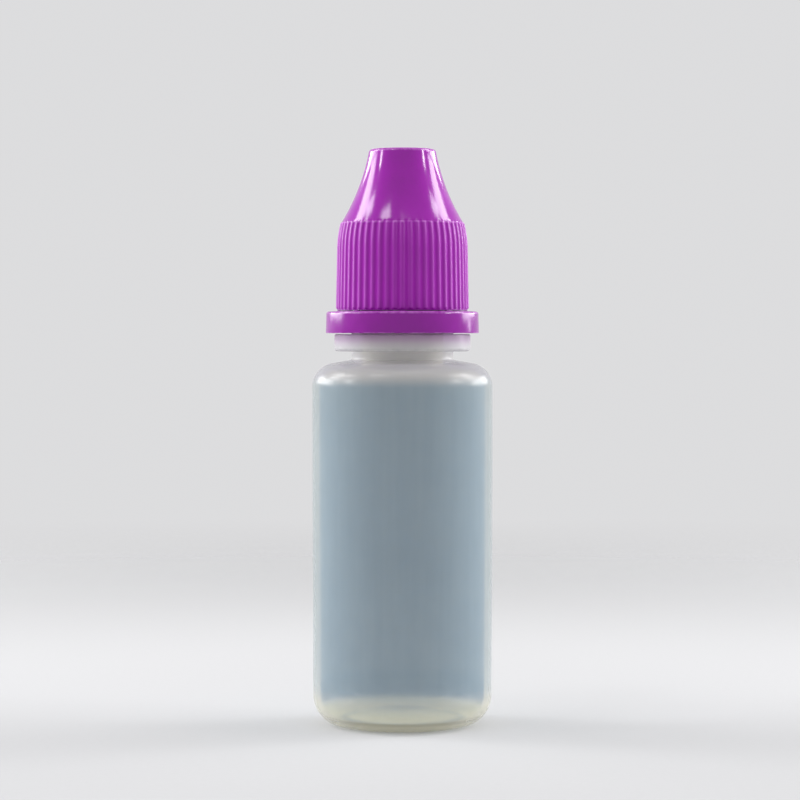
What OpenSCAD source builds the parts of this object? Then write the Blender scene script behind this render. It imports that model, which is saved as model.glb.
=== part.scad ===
// Eye drop bottle, 10 ml: squeeze bottle, snap-in dropper tip, screw cap and tear-off band.
// Millimetres. +Z is up, the foot stands on Z = 0 and the bottle's axis is X = Y = 0.

/* [Bottle body] */
// outside diameter of the body below the shoulder
body_d = 22; // [20:0.5:30]
// height of the flat part of the shoulder above the floor
shoulder_h = 44.25; // [34:0.25:60]
// wall thickness of the bottle
wall = 0.9; // [0.7:0.05:1.3]
// radius of the round between wall and foot
foot_round = 3.65; // [2:0.05:4.5]
// radius of the round between wall and shoulder
shoulder_round = 2.95; // [1.5:0.05:3.2]
// how much the radius shrinks from mid height to the foot
body_draft = 0.1; // [0:0.02:0.3]
// height of the hollow under the foot, at the middle
push_up = 1.2; // [0.4:0.1:2]
// width of the flat ring that the bottle stands on
foot_ring_w = 1.1; // [0.8:0.1:2]

/* [Neck] */
// outside diameter of the neck between the thread turns
neck_d = 12.4; // [10.5:0.1:14.5]
// thickness of the neck round its bore
neck_wall = 1.2; // [0.9:0.05:1.8]
// rise of the shoulder's slope up to the neck
shoulder_rise = 0.35; // [0.1:0.05:1]
// bare neck between the shoulder and the collar
bare_neck_h = 1.06; // [0.6:0.02:2]
// how far the collar stands out from the neck
collar_out = 2.1; // [1:0.05:2.5]
// height of the collar
collar_h = 2.1; // [1.2:0.05:3]
// plain rim of the neck above the end of its thread
rim_h = 0.81; // [0.75:0.01:2]
// how far the locking bead stands out from the neck
bead_out = 1; // [0.6:0.05:1.2]

/* [Screw thread] */
// rise of the thread for one full turn
pitch = 3; // [2.4:0.1:3.4]
// height of the thread's crest over its root
thread_depth = 0.6; // [0.4:0.05:0.8]
// length of the bottle's thread, in turns
thread_turns = 1.65; // [1:0.05:2]
// gap between the cap's thread and the bottle's
thread_gap = 0.14; // [0.1:0.02:0.25]

/* [Tamper ring] */
// thickness of the ring from its bore to its rim
ring_wall = 1.9; // [1.2:0.05:2.4]
// height of the ring
ring_h = 2.67; // [2.2:0.01:4]
// radius of the ring's rounded top edge
ring_round = 0.35; // [0.1:0.05:0.6]
// gap between the collar and the ring above it
ring_gap = 0.1; // [0.1:0.05:0.5]
// width of the tear line between the ring and the cap
tear_gap = 0.1; // [0.06:0.02:0.3]
// number of small bridges across the tear line
bridges = 8; // [4:1:16]

/* [Cap] */
// thickness of the skirt outside the thread's root, at the lower edge
cap_wall = 1.17; // [0.9:0.01:1.6]
// how far the ribbed skirt reaches above the dropper tip's flange
skirt_over = 3.07; // [2.8:0.01:5]
// thickness of the cap's top
roof = 1.1; // [0.8:0.05:2]
// gap between the end of the nozzle and the cap's top
roof_gap = 1.17; // [0.8:0.01:3]
// diameter at the top of the cone
cap_top_d = 8.25; // [7:0.05:10]
// radius of the inward sweep of the cone's side
cone_sweep = 26; // [18:1:80]
// radius of the rounded edge at the very top
cap_top_round = 0.45; // [0.2:0.05:1]
// height over which the top of the skirt rounds inward
skirt_round_h = 3.1; // [1:0.1:4]
// radius of that inward rounding
skirt_round = 13; // [9:1:30]
// how much the skirt's radius shrinks for each millimetre of height
skirt_draft = 0.02; // [0:0.005:0.04]
// number of grip ribs round the skirt
ribs = 54; // [36:1:72]
// depth of the grooves between the ribs
rib_depth = 0.18; // [0.1:0.02:0.3]
// share of the rib spacing that is rib, not groove
rib_share = 0.56; // [0.4:0.02:0.7]

/* [Dropper tip] */
// height of the nozzle above the flange
nozzle_h = 10; // [8:0.1:10.5]
// thickness of the flange that rests on the mouth
flange_h = 1; // [0.6:0.1:1.4]
// diameter of the nozzle where it leaves the flange
nozzle_foot_d = 6.6; // [5.5:0.1:7.5]
// diameter of the nozzle just under its rounded end
nozzle_end_d = 3.6; // [3:0.1:4.4]
// diameter of the hole that the drops come through
orifice_d = 0.9; // [0.4:0.05:1.2]
// length of the plug that presses into the neck
plug_h = 6.5; // [4:0.1:8]
// thickness of the plug's tube
plug_wall = 0.9; // [0.7:0.05:1.2]
// gap between the plug and the neck's bore, on the radius
plug_gap = 0.02; // [0.01:0.01:0.05]

/* [Hidden] */
$fn = 96;
facets = 36;                                  // steps of the thread in one turn
body_r = body_d / 2;
foot_r = body_r - body_draft;
neck_r = neck_d / 2;
bore_r = neck_r - neck_wall;
z_neck = shoulder_h + shoulder_rise;          // where the slope meets the neck
z_collar = z_neck + bare_neck_h;              // underside of the collar
z_collar_top = z_collar + collar_h;
z_ring = z_collar_top + ring_gap;             // underside of the ring
z_ring_top = z_ring + ring_h;
z_bead = z_ring + 1.12;                       // underside of the bead, just over the hook
bead_r = neck_r + bead_out;
z_cap = z_ring_top + tear_gap;                // lower edge of the cap
root_r = neck_r + thread_depth + 0.15;        // bore of the skirt
skirt_r = root_r + cap_wall;                  // outside of the skirt at its lower edge
z_thread = z_cap + 0.62;                      // middle of the bottle's thread at its start
z_mouth = z_thread + pitch * thread_turns + rim_h;
z_flange_top = z_mouth + flange_h;
z_tip = z_flange_top + nozzle_h;
z_skirt = z_flange_top + skirt_over;          // foot of the smooth cone
z_in = z_tip + roof_gap;                      // underside of the cap's top
z_top = z_in + roof;
z_round = z_skirt - skirt_round_h;
round_r = skirt_r - skirt_draft * (z_round - z_cap);
thread_crest_w = 0.54;                        // width of the thread's crest
flank = 0.5;                                  // how much each flank spreads for each millimetre of depth
cap_crest_r = neck_r + 0.15;                  // crest of the cap's thread
thread_drop = thread_crest_w + flank * (neck_r + thread_depth - cap_crest_r) + thread_gap;
cap_start = 360 * (thread_drop + 0.345) / pitch;
plug_r = bore_r - plug_gap;

// Points from angle a to angle b on a circle.
function arc(cx, cy, r, a, b, n = 10) =
    [for (i = [0:n]) let(t = a + (b - a) * i / n) [cx + r * cos(t), cy + r * sin(t)]];

// Points from p to q along a circle of radius r whose middle lies to the right of the way from p to q.
function sweep(p, q, r, n = 12) =
    let(d = q - p, l = norm(d), m = (p + q) / 2, h = sqrt(r * r - l * l / 4),
        c = m + h * [d[1], -d[0]] / l,
        a = atan2(p[1] - c[1], p[0] - c[0]), b0 = atan2(q[1] - c[1], q[0] - c[0]),
        b = b0 - a > 180 ? b0 - 360 : b0 - a < -180 ? b0 + 360 : b0)
    arc(c[0], c[1], r, a, b, n);

// Radius of the skirt's rounded top at height z.
function rounded_r(z) = round_r - skirt_round + sqrt(pow(skirt_round, 2) - pow(z - z_round, 2));

// Points in the other order.
function back(v) = [for (i = [len(v) - 1:-1:0]) v[i]];

// A helical ridge on a wall of radius r_root. It rises pitch for each turn and fades in and out at its ends.
module ridge(r_root, r_crest, z0, start, length) {
    n = ceil(length * facets);
    step = length * 360 / n;
    fade = 40;
    embed = 0.3;
    dir = r_crest > r_root ? 1 : -1;
    depth = abs(r_crest - r_root);
    w0 = thread_crest_w / 2 + flank * (depth + embed);
    rows = [for (i = [0:n])
        let(t = i * step, k = min(1, t / fade, (length * 360 - t) / fade),
            top = r_root + dir * (k * (depth + 0.05) - 0.05),
            w1 = thread_crest_w / 2 + flank * abs(r_crest - top),
            z = z0 + pitch * (start + t) / 360, ang = start + t)
        [for (p = [[r_root - dir * embed, -w0], [top, -w1], [top, w1], [r_root - dir * embed, w0]])
            [p[0] * cos(ang), p[0] * sin(ang), z + p[1]]]];
    points = [for (row = rows, p = row) p];
    side = [for (i = [0:n - 1], j = [0:3])
        let(a = 4 * i + j, b = 4 * i + (j + 1) % 4, c = b + 4, d = a + 4)
        each (dir > 0 ? [[a, b, c], [a, c, d]] : [[c, b, a], [d, c, a]])];
    e = 4 * n;
    ends = dir > 0 ? [[0, 3, 2], [0, 2, 1], [e, e + 1, e + 2], [e, e + 2, e + 3]]
                   : [[2, 3, 0], [1, 2, 0], [e + 2, e + 1, e], [e + 3, e + 2, e]];
    polyhedron(points = points, faces = concat(side, ends), convexity = 6);
}

module bottle_section() {
    r_in = body_r - wall;
    foot_in = foot_r - wall;
    flat = foot_r - foot_round;
    dish_r = flat - foot_ring_w;
    a = 80;
    outer = concat(
        [for (k = [0:8]) [dish_r * k / 8, push_up * (1 - pow(k / 8, 3))]],
        arc(flat, foot_round, foot_round, -90, 0, 12),
        [[body_r, shoulder_h * 0.7]],
        arc(body_r - shoulder_round, shoulder_h - shoulder_round, shoulder_round, 0, a, 12),
        arc(neck_r + 0.3, z_neck + 0.27, 0.3, -100, -180, 4),
        [[neck_r, z_collar - 0.12], [neck_r + 0.12, z_collar]],
        arc(neck_r + collar_out - 0.4, z_collar + 0.4, 0.4, -90, 0, 5),
        arc(neck_r + collar_out - 0.2, z_collar_top - 0.2, 0.2, 0, 90, 3),
        [[neck_r, z_collar_top], [neck_r, z_bead], [bead_r - 0.1, z_bead + 0.05],
         [bead_r, z_bead + 0.15], [bead_r, z_bead + 0.32], [neck_r, z_bead + 1.3],
         [neck_r, z_mouth - 0.25], [neck_r - 0.25, z_mouth]]);
    inner = concat(
        [[bore_r, z_mouth], [bore_r, z_neck + 0.1]],
        arc(bore_r + 0.5, z_neck - 0.4, 0.5, 180, 260, 4),
        arc(body_r - shoulder_round, shoulder_h - shoulder_round, shoulder_round - wall, a, 0, 10),
        [[r_in, shoulder_h * 0.7]],
        arc(flat, foot_round, foot_round - wall, 0, -90, 10),
        [for (k = [8:-1:0]) [dish_r * k / 8, push_up * (1 - pow(k / 8, 3)) + wall + 0.05]]);
    polygon(concat(outer, inner));
}

module bottle() {
    color([0.66, 0.70, 0.74]) {
        rotate_extrude() bottle_section();
        ridge(neck_r, neck_r + thread_depth, z_thread, 0, thread_turns);
    }
}

module dropper_tip() {
    flange_r = neck_r - 0.1;
    foot = nozzle_foot_d / 2;
    end = nozzle_end_d / 2;
    hole = orifice_d / 2;
    z_low = z_mouth - plug_h;
    color([0.84, 0.87, 0.88])
    rotate_extrude() polygon(concat(
        [[plug_r - 0.35, z_low], [plug_r, z_low + 0.7], [plug_r, z_mouth], [flange_r, z_mouth]],
        arc(flange_r - 0.25, z_flange_top - 0.25, 0.25, 0, 90, 4),
        arc(foot + 0.6, z_flange_top + 0.6, 0.6, -90, -172, 5),
        arc(end - 0.55, z_tip - 0.55, 0.55, 8, 90, 6),
        [[hole + 0.5, z_tip], [hole, z_tip - 1.3], [hole, z_tip - 2.1], [hole + 0.35, z_tip - 2.5],
         [foot - 1, z_flange_top + 0.4], [plug_r - plug_wall, z_mouth - 0.9], [plug_r - plug_wall, z_low]]));
}

// Half section of the cap up to the floor of its grooves.
module cap_section() {
    tr = cap_top_d / 2;
    foot_r = rounded_r(z_skirt);
    hole = orifice_d / 2;
    polygon(concat(
        [[root_r + 0.35, z_cap], [skirt_r - rib_depth - 0.1, z_cap], [skirt_r - rib_depth, z_cap + 0.1]],
        [for (i = [0:3]) let(z = z_round + skirt_round_h * i / 4) [rounded_r(z) - rib_depth, z]],
        sweep([foot_r - rib_depth, z_skirt + 1.6 * rib_depth], [tr, z_top - cap_top_round], cone_sweep),
        arc(tr - cap_top_round, z_top - cap_top_round, cap_top_round, 10, 90, 5),
        [[0, z_top], [0, z_tip - 1.1], [hole * 0.6, z_tip - 1.1], [hole + 0.08, z_tip - 0.9],
         [hole + 0.43, z_tip], [hole + 0.6, z_in], [tr - 1.45, z_in]],
        back(sweep([foot_r - 1.2, z_skirt - 0.5], [tr - 1.1, z_in - 0.35], cone_sweep + 1.2)),
        [[root_r, z_skirt - 2.4], [root_r, z_cap + 0.35]]));
}

// One grip rib, a slice of the skirt's outer face. It ends where it meets the cone.
module rib() {
    foot_r = rounded_r(z_skirt);
    deep = rib_depth + 0.3;
    rotate_extrude(angle = 360 / ribs * rib_share) polygon(concat(
        [[skirt_r - deep, z_cap + 0.12], [skirt_r - 0.12, z_cap + 0.12], [skirt_r, z_cap + 0.24]],
        [for (i = [0:4]) let(z = z_round + skirt_round_h * i / 4) [rounded_r(z), z]],
        [[foot_r - rib_depth - 0.02, z_skirt + 1.6 * rib_depth + 0.02], [foot_r - deep, z_skirt]]));
}

module cap() {
    color([0.51, 0.17, 0.56]) {
        rotate_extrude() cap_section();
        for (i = [0:ribs - 1]) rotate(i * 360 / ribs) rib();
        ridge(root_r, cap_crest_r, z_thread - thread_drop, cap_start, thread_turns - 0.2);
    }
}

module tamper_ring() {
    bore = bead_r + 0.25;
    rim = bore + ring_wall;
    color([0.53, 0.18, 0.58]) {
        rotate_extrude() polygon(concat(
            [[neck_r + 0.45, z_ring + 0.35], [neck_r + 0.9, z_ring], [rim - 0.12, z_ring], [rim, z_ring + 0.12]],
            arc(rim - 0.07 - ring_round, z_ring_top - ring_round, ring_round, 0, 90, 5),
            [[bore, z_ring_top], [bore, z_ring + 1.15], [neck_r + 0.45, z_ring + 0.75]]));
        for (i = [0:bridges - 1]) rotate(i * 360 / bridges)
            translate([bore + 0.05, -0.3, z_ring_top - 0.2]) cube([0.5, 0.6, 0.18 + tear_gap]);
    }
}

bottle();
dropper_tip();
cap();
tamper_ring();
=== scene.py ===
"""Eye drop bottle, 10 ml: milky squeeze bottle, dropper tip, purple screw cap and tear-off band.

Each piece is a turned form built row by row round the bottle's axis. Outlines are written in
millimetres and the meshes in metres. The points carry marks, numbers that the materials read: edge
(1 on an outer edge, -1 in a crease; edges are lighter partly from scuffing and partly as painted
highlight, and the tip's crease marks get painted shade), thick, inside (the inner face, with
painted shade in the hollow and painted light on the inner floor), ribbed (crests lighter, partly
as painted highlight), groove (painted dark rings on the bottle's foot, painted light in the cap's
grooves), tint (painted shadow and purple light from the band), pale (neck, lighter partly as
painted light), low (foot, lighter partly as painted light), cover (how much the face hides of what
is behind it) and within (cover added where the face is seen from the hollow).
"""
import math

import bpy
import numpy as np
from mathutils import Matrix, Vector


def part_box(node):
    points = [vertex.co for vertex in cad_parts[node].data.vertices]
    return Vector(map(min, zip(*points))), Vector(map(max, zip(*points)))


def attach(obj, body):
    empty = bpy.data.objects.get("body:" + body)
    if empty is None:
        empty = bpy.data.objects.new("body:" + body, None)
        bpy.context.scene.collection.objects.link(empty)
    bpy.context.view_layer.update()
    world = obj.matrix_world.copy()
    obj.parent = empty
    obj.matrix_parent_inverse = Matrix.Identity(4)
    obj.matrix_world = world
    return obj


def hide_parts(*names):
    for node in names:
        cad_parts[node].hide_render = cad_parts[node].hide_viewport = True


bl_info = {
    "name": "Eye Drop Bottle",
    "version": (1, 0, 0),
    "blender": (4, 5, 0),
    "location": "3D View > Sidebar > Drop Bottle",
    "description": "Builds a 10 ml squeeze bottle with dropper tip, screw cap and tear-off band",
    "category": "Add Mesh",
}

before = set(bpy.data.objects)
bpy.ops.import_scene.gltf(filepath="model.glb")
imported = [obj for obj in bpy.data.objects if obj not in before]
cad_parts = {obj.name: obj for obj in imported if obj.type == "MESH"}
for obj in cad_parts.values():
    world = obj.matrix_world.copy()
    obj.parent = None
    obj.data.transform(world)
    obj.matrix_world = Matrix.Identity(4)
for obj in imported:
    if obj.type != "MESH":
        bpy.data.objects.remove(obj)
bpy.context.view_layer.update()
BOTTLE_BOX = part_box("bottle")
TIP_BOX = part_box("dropper_tip")
CAP_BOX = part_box("cap")
RING_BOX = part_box("tamper_ring")

MM = 1000.0
FULL_TURN = 2 * math.pi
BOTTLE_STEPS = 192
TIP_STEPS = 144
RING_STEPS = 360
DOME_STEPS = 14
STEPS_PER_RIB = 10
MARKS = ("edge", "thick", "inside", "ribbed", "groove", "tint", "pale", "low", "cover", "within")

# Small sizes in millimetres
FOOT_INSET = 0.1  # the foot's round starts this far inside the body's radius
FOOT_RING = 1.1  # width of the ring that the bottle stands on
SHOULDER_RISE = 0.35  # from the flat part of the shoulder up to the root of the neck
BARE_NECK = 1.06  # bare neck between its root and the collar
COLLAR_OUT = 2.1
COLLAR_GAP = 0.1  # from the collar up to the tear-off band
BEAD_RISE = 1.12  # from the band's lower edge up to the locking bead
BEAD_OUT = 1.0
PLUG_FIT = 0.02  # stands in for the plug's press fit in the bore
FLANGE_INSET = 0.1
THREAD_START = 0.62  # from the cap's lower edge up to the start of the bottle's thread
THREAD_CREST, THREAD_ROOT = 0.27, 0.57  # half widths of a thread's ridge
CAP_ROOF = 1.1
NOZZLE_DEPTH = 1.17  # from the cap's ceiling down to the nozzle's end
CONE_HEIGHT = 9.2  # with the flat top
SKIRT_BEND, SKIRT_BEND_RADIUS = 3.1, 13  # the skirt's top part draws in along an arc
SKIRT_TAPER = 0.02
CONE_SWEEP = 26  # radius of the cone's hollow side
TOP_EDGE = 0.45  # radius of the round at the cap's top
GATE_RADIUS = 2.4  # flat middle of the cap's top, with the gate mark
BAND_GAP = 0.1  # from the band up to the cap
BAND_BORE, BAND_WIDTH = 1.25, 1.9  # the band's bore over the neck's radius, and its width
BRIDGES = 8

# How much the bottle's floor and the wall beyond the hollow hide of what is behind them
FLOOR_COVER = 0.92
FAR_WALL_COVER = 0.70

BOTTLE_THREAD_TURNS = 1.65
CAP_THREAD_TURNS = 1.45

# Roughness that smudges and the ribbed skirt add
SMUDGE_ROUGHNESS = 0.03
SATIN_ROUGHNESS = 0.34

# Softboxes: name, azimuth and elevation in degrees, distance, width and height in metres, watts
LAMP_PAIRS = (
    ("low", 122, 12, 0.45, 0.31, 0.12, 1.00),
    ("upper", 108, 32, 0.45, 0.15, 0.18, 0.80),
    ("slim", 77, 22, 0.45, 0.035, 0.12, 0.36),
    ("high", 90, 43, 0.50, 0.09, 0.07, 0.22),
)
SINGLE_LAMPS = (
    ("top_left", -48, 58, 0.50, 0.12, 0.07, 0.24),
    ("top_wide", 30, 80, 0.55, 0.32, 0.32, 0.35),
    ("band_right", 120, 1, 0.45, 0.05, 0.03, 0.03),
)
LAMP_AIM = (0.0, 0.0, 0.048)


# Settings


def number_of(name, text, default, **settings):
    """A number that the user can change."""
    return bpy.props.FloatProperty(name=name, description=text, default=default, **settings)


def length_of(name, text, default):
    """A size of the object, shown in the user's own unit."""
    return number_of(name, text, default, unit="LENGTH")


def share_of(name, text, default):
    """A number from 0 to 1."""
    return number_of(name, text, default, min=0.0, max=1.0, subtype="FACTOR")


def colour_of(name, text, default):
    """A colour with red, green and blue from 0 to 1."""
    limits = {"size": 3, "min": 0.0, "max": 1.0, "subtype": "COLOR"}
    return bpy.props.FloatVectorProperty(name=name, description=text, default=default, **limits)


class BottleSettings(bpy.types.PropertyGroup):
    """Sizes and colours of the squeeze bottle."""

    body_radius: length_of("Body radius", "Radius of the body under the shoulder", BOTTLE_BOX[1].x)
    mouth_height: length_of("Mouth height", "Height of the neck's upper rim", BOTTLE_BOX[1].z)
    shoulder_height: length_of("Shoulder height", "Height of the shoulder's flat part", 0.04425)
    wall: length_of("Wall", "Thickness of the bottle's wall", 0.0009)
    foot_round: length_of("Foot round", "Radius of the round between wall and foot", 0.00365)
    shoulder_round: length_of("Shoulder round", "Radius of the round over the wall", 0.00295)
    push_up: length_of("Push-up", "Height of the hollow under the foot", 0.0012)
    neck_radius: length_of("Neck radius", "Radius of the neck between the thread's turns", 0.0062)
    bore_radius: length_of("Bore radius", "Radius of the hole through the neck", 0.005)
    thread_depth: length_of("Thread depth", "Height of both threads over their walls", 0.0006)
    pitch: length_of("Thread pitch", "Rise of the thread in one turn", 0.003)
    wall_colour: colour_of("Wall colour", "Milky plastic of the thin wall", (0.46, 0.52, 0.515))
    thick_colour: colour_of("Thick colour", "Milky plastic of the shoulder", (0.48, 0.47, 0.51))
    # Painted shade: the dark blue-grey of the hollow, which the wall's inner face carries
    hollow_colour: colour_of("Hollow colour", "Shade of the wall's inner face", (0.05, 0.22, 0.42))
    # Partly the thick plastic's cream and partly painted light: the bright inner floor and the
    # inner face under the shoulder
    floor_colour: colour_of("Floor colour", "Shade of the bottle's inner floor", (0.93, 0.89, 0.70))
    # Partly the thick plastic's whiter tone and partly painted light, standing in for light the
    # plastic carries into the shaded neck
    neck_colour: colour_of("Neck colour", "Milky plastic of neck and collar", (0.78, 0.77, 0.80))
    # Partly the thick plastic's cream and partly painted light carried up from the floor through
    # the foot
    foot_colour: colour_of("Foot colour", "Milky plastic of the thick foot", (0.69, 0.67, 0.53))
    wall_cover: share_of("Wall cover", "How much the wall's outer face hides behind it", 0.55)
    hollow_cover: share_of("Hollow cover", "The same for the wall's inner face", 0.50)
    corner_cover: share_of("Corner cover", "The same for the near inner face over the foot", 0.22)
    thick_cover: share_of("Thick cover", "The same for the shoulder, collar and thread", 0.64)
    neck_cover: share_of("Neck cover", "The same for the bare neck, which passes more light", 0.60)
    shadow_share: share_of("Shadow share", "How dark the milky plastic's shadow is", 0.45)


class TipSettings(bpy.types.PropertyGroup):
    """Sizes and colours of the dropper tip."""

    top_height: length_of("Nozzle end", "Height of the nozzle's end", TIP_BOX[1].z)
    plug_end: length_of("Plug end", "Height of the plug's lower end", TIP_BOX[0].z)
    flange_height: length_of("Flange height", "Thickness of the flange on the mouth", 0.001)
    foot_radius: length_of("Nozzle foot radius", "Radius of the nozzle at the flange", 0.0033)
    end_radius: length_of("Nozzle end radius", "Radius of the nozzle at its rounded end", 0.0018)
    orifice_radius: length_of("Orifice radius", "Radius of the drop hole", 0.00045)
    colour: colour_of("Tip colour", "Milky plastic of the dropper tip", (0.77, 0.775, 0.785))


class CapSettings(bpy.types.PropertyGroup):
    """Sizes and colours of the screw cap and its tear-off band."""

    low_height: length_of("Skirt's lower edge", "Height of the cap's lower edge", CAP_BOX[0].z)
    top_height: length_of("Cap top", "Height of the cap's top", CAP_BOX[1].z)
    skirt_radius: length_of("Skirt radius", "Radius over the ribs at the lower edge", 0.00812)
    bore_radius: length_of("Cap bore", "Radius inside the skirt, between the turns", 0.00695)
    ribs: bpy.props.IntProperty(
        name="Ribs", description="Number of grip ribs round the skirt", default=54, min=12, max=90
    )
    rib_depth: length_of("Rib depth", "Depth of the grooves between the ribs", 0.00018)
    top_radius: length_of("Top radius", "Radius of the cone at its top", 0.004125)
    colour: colour_of("Cap colour", "Purple of the cap and the band", (0.39, 0.002, 0.455))
    # Lighter purple for edges and rib crests: partly scuffing, partly painted highlight
    rubbed_colour: colour_of("Rubbed colour", "Lighter purple of rubbed edges", (0.57, 0.15, 0.63))


class StageSettings(bpy.types.PropertyGroup):
    """The floor, the camera and the lamps."""

    floor_colour: colour_of("Floor colour", "Pale floor under the bottle", (0.59, 0.59, 0.60))
    backdrop_colour: colour_of(
        "Backdrop colour", "Pale backdrop that the camera and reflections see", (0.72, 0.72, 0.73)
    )
    fill: number_of("Fill light", "Strength of the even light", 0.30, min=0.0, max=2.0)
    lamp_level: number_of("Lamp level", "Share of each lamp's power", 1.0, min=0.0, max=4.0)
    camera_distance: length_of("Camera distance", "From the camera to the bottle's axis", 0.350)
    camera_height: length_of("Camera height", "Height of the camera over the floor", 0.0479)
    camera_tilt: number_of(
        "Camera tilt", "How far the camera looks down", math.radians(1.34), subtype="ANGLE"
    )
    lens: number_of(
        "Lens", "Focal length for a 36 mm sensor", 129.0, min=20, max=400, subtype="DISTANCE_CAMERA"
    )


# Turned forms


def in_mm(settings, *names):
    """Some sizes of a piece's settings in millimetres."""
    return [getattr(settings, name) * MM for name in names]


def arc_rows(centre_r, centre_z, radius, first, last, steps, edge=0.0):
    """Rows (radius, height, edge) along an arc, from the first to the last angle in degrees."""
    rows = []
    for step in range(steps + 1):
        angle = math.radians(first + (last - first) * step / steps)
        r, z = centre_r + radius * math.cos(angle), centre_z + radius * math.sin(angle)
        rows.append((r, z, edge if 0 < step < steps else 0.0))
    return rows


def sweep_rows(start, end, radius, steps):
    """Rows along a circle from start to end, bent inward as the cone's side is."""
    (r0, z0), (r1, z1) = start, end
    dr, dz = r1 - r0, z1 - z0
    chord = math.hypot(dr, dz)
    rise = math.sqrt(radius * radius - chord * chord / 4)
    centre_r = (r0 + r1) / 2 + rise * dz / chord
    centre_z = (z0 + z1) / 2 - rise * dr / chord
    first = math.atan2(z0 - centre_z, r0 - centre_r)
    last = math.atan2(z1 - centre_z, r1 - centre_r)
    turn = (last - first + math.pi) % FULL_TURN - math.pi
    rows = []
    for step in range(steps + 1):
        angle = first + turn * step / steps
        rows.append((centre_r + radius * math.cos(angle), centre_z + radius * math.sin(angle), 0.0))
    return rows


def softened(corners, closed=False):
    """Rows through corners (radius, height, round), each rounded as far as its sides allow."""
    count = len(corners)
    rows = []
    for index, (r, z, size) in enumerate(corners):
        if size <= 0 or (not closed and index in (0, count - 1)):
            rows.append((r, z, 0.0))
            continue
        here = np.array((r, z))
        before = np.array(corners[index - 1][:2]) - here
        after = np.array(corners[(index + 1) % count][:2]) - here
        long_before, long_after = np.linalg.norm(before), np.linalg.norm(after)
        before /= long_before
        after /= long_after
        opening = math.acos(max(-1.0, min(1.0, float(before @ after))))
        if opening > math.radians(176):
            rows.append((r, z, 0.0))
            continue
        reach = min(size / math.tan(opening / 2), 0.48 * long_before, 0.48 * long_after)
        size = reach * math.tan(opening / 2)
        middle = before + after
        centre = here + middle / np.linalg.norm(middle) * size / math.sin(opening / 2)
        first, last = here + before * reach - centre, here + after * reach - centre
        start = math.atan2(first[1], first[0])
        turn = (math.atan2(last[1], last[0]) - start + math.pi) % FULL_TURN - math.pi
        steps = max(3, math.ceil(abs(math.degrees(turn)) / 15))
        edge = 1.0 if turn > 0 else -1.0
        for step in range(steps + 1):
            angle = start + turn * step / steps
            mark = edge if 0 < step < steps else 0.0
            r, z = centre[0] + size * math.cos(angle), centre[1] + size * math.sin(angle)
            rows.append((r, z, mark))
    return rows


def filled(rows, longest):
    """The same rows with more between those that lie further apart than longest."""
    out = [rows[0]]
    for before, row in zip(rows, rows[1:]):
        gap = math.hypot(row[0] - before[0], row[1] - before[1])
        parts = max(1, math.ceil(gap / longest - 1e-6))
        for part in range(1, parts + 1):
            share = part / parts
            out.append(tuple(a + (b - a) * share for a, b in zip(before, row)))
    return out


def eased(value):
    """0 to 1 with a soft start and end."""
    value = np.clip(value, 0.0, 1.0)
    return value * value * (3 - 2 * value)


def toward(first, second, share):
    """The value that lies this share of the way from the first to the second."""
    return first + (second - first) * share


def thread_rise(angle, height, centre, pitch, start, length):
    """How far a thread's ridge has risen, 0 to 1, at each angle and height. Angles are in turns."""
    fade = 40 / 360
    best = np.zeros(np.broadcast(angle, height).shape)
    for turn in range(math.ceil(start + length) + 1):
        along = angle + turn - start
        ends = eased(np.minimum(along, length - along) / fade)
        off = np.abs(height - centre - pitch * (angle + turn))
        flank = eased((THREAD_ROOT - off) / (THREAD_ROOT - THREAD_CREST))
        best = np.maximum(best, flank * ends)
    return best


class Band:
    """Some rows of a turned piece with one number of steps round the axis."""

    def __init__(self, rows, steps, shape=None, **marks):
        self.rows = np.array(rows, float)
        self.steps = steps
        self.shape = shape
        self.marks = marks

    def points(self):
        """Radius, height and marks of every point, each as one row of numbers for each row."""
        turns = np.arange(self.steps) / self.steps
        radius = np.repeat(self.rows[:, :1], self.steps, axis=1)
        height = np.repeat(self.rows[:, 1:2], self.steps, axis=1)
        marks = {"edge": np.repeat(self.rows[:, 2:3], self.steps, axis=1)}
        for name, value in self.marks.items():
            value = value(radius, height) if callable(value) else np.full(radius.shape, value)
            marks[name] = value
        if self.shape:
            radius, height, more = self.shape(turns[None, :], radius, height)
            marks.update(more)
        return turns, radius, height, marks


def strip(lower, upper):
    """Faces between two rows, each given as (first point, number of points)."""
    first_low, count_low = lower
    first_up, count_up = upper
    faces = []
    steps = max(min(count_low, count_up), 1)
    if count_low == 1 or count_up == 1:
        steps = max(count_low, count_up)
    for step in range(steps):
        after = step + 1
        if count_low == 1:
            face = [first_low, first_up + after % count_up, first_up + step]
        elif count_up == 1:
            face = [first_low + step, first_low + after % count_low, first_up]
        else:
            many_low, many_up = count_low // steps, count_up // steps
            low = [first_low + (step * many_low + k) % count_low for k in range(many_low + 1)]
            high = [first_up + (step * many_up + k) % count_up for k in range(many_up + 1)]
            face = low + high[::-1]
        faces.append(face)
    return faces


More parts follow.
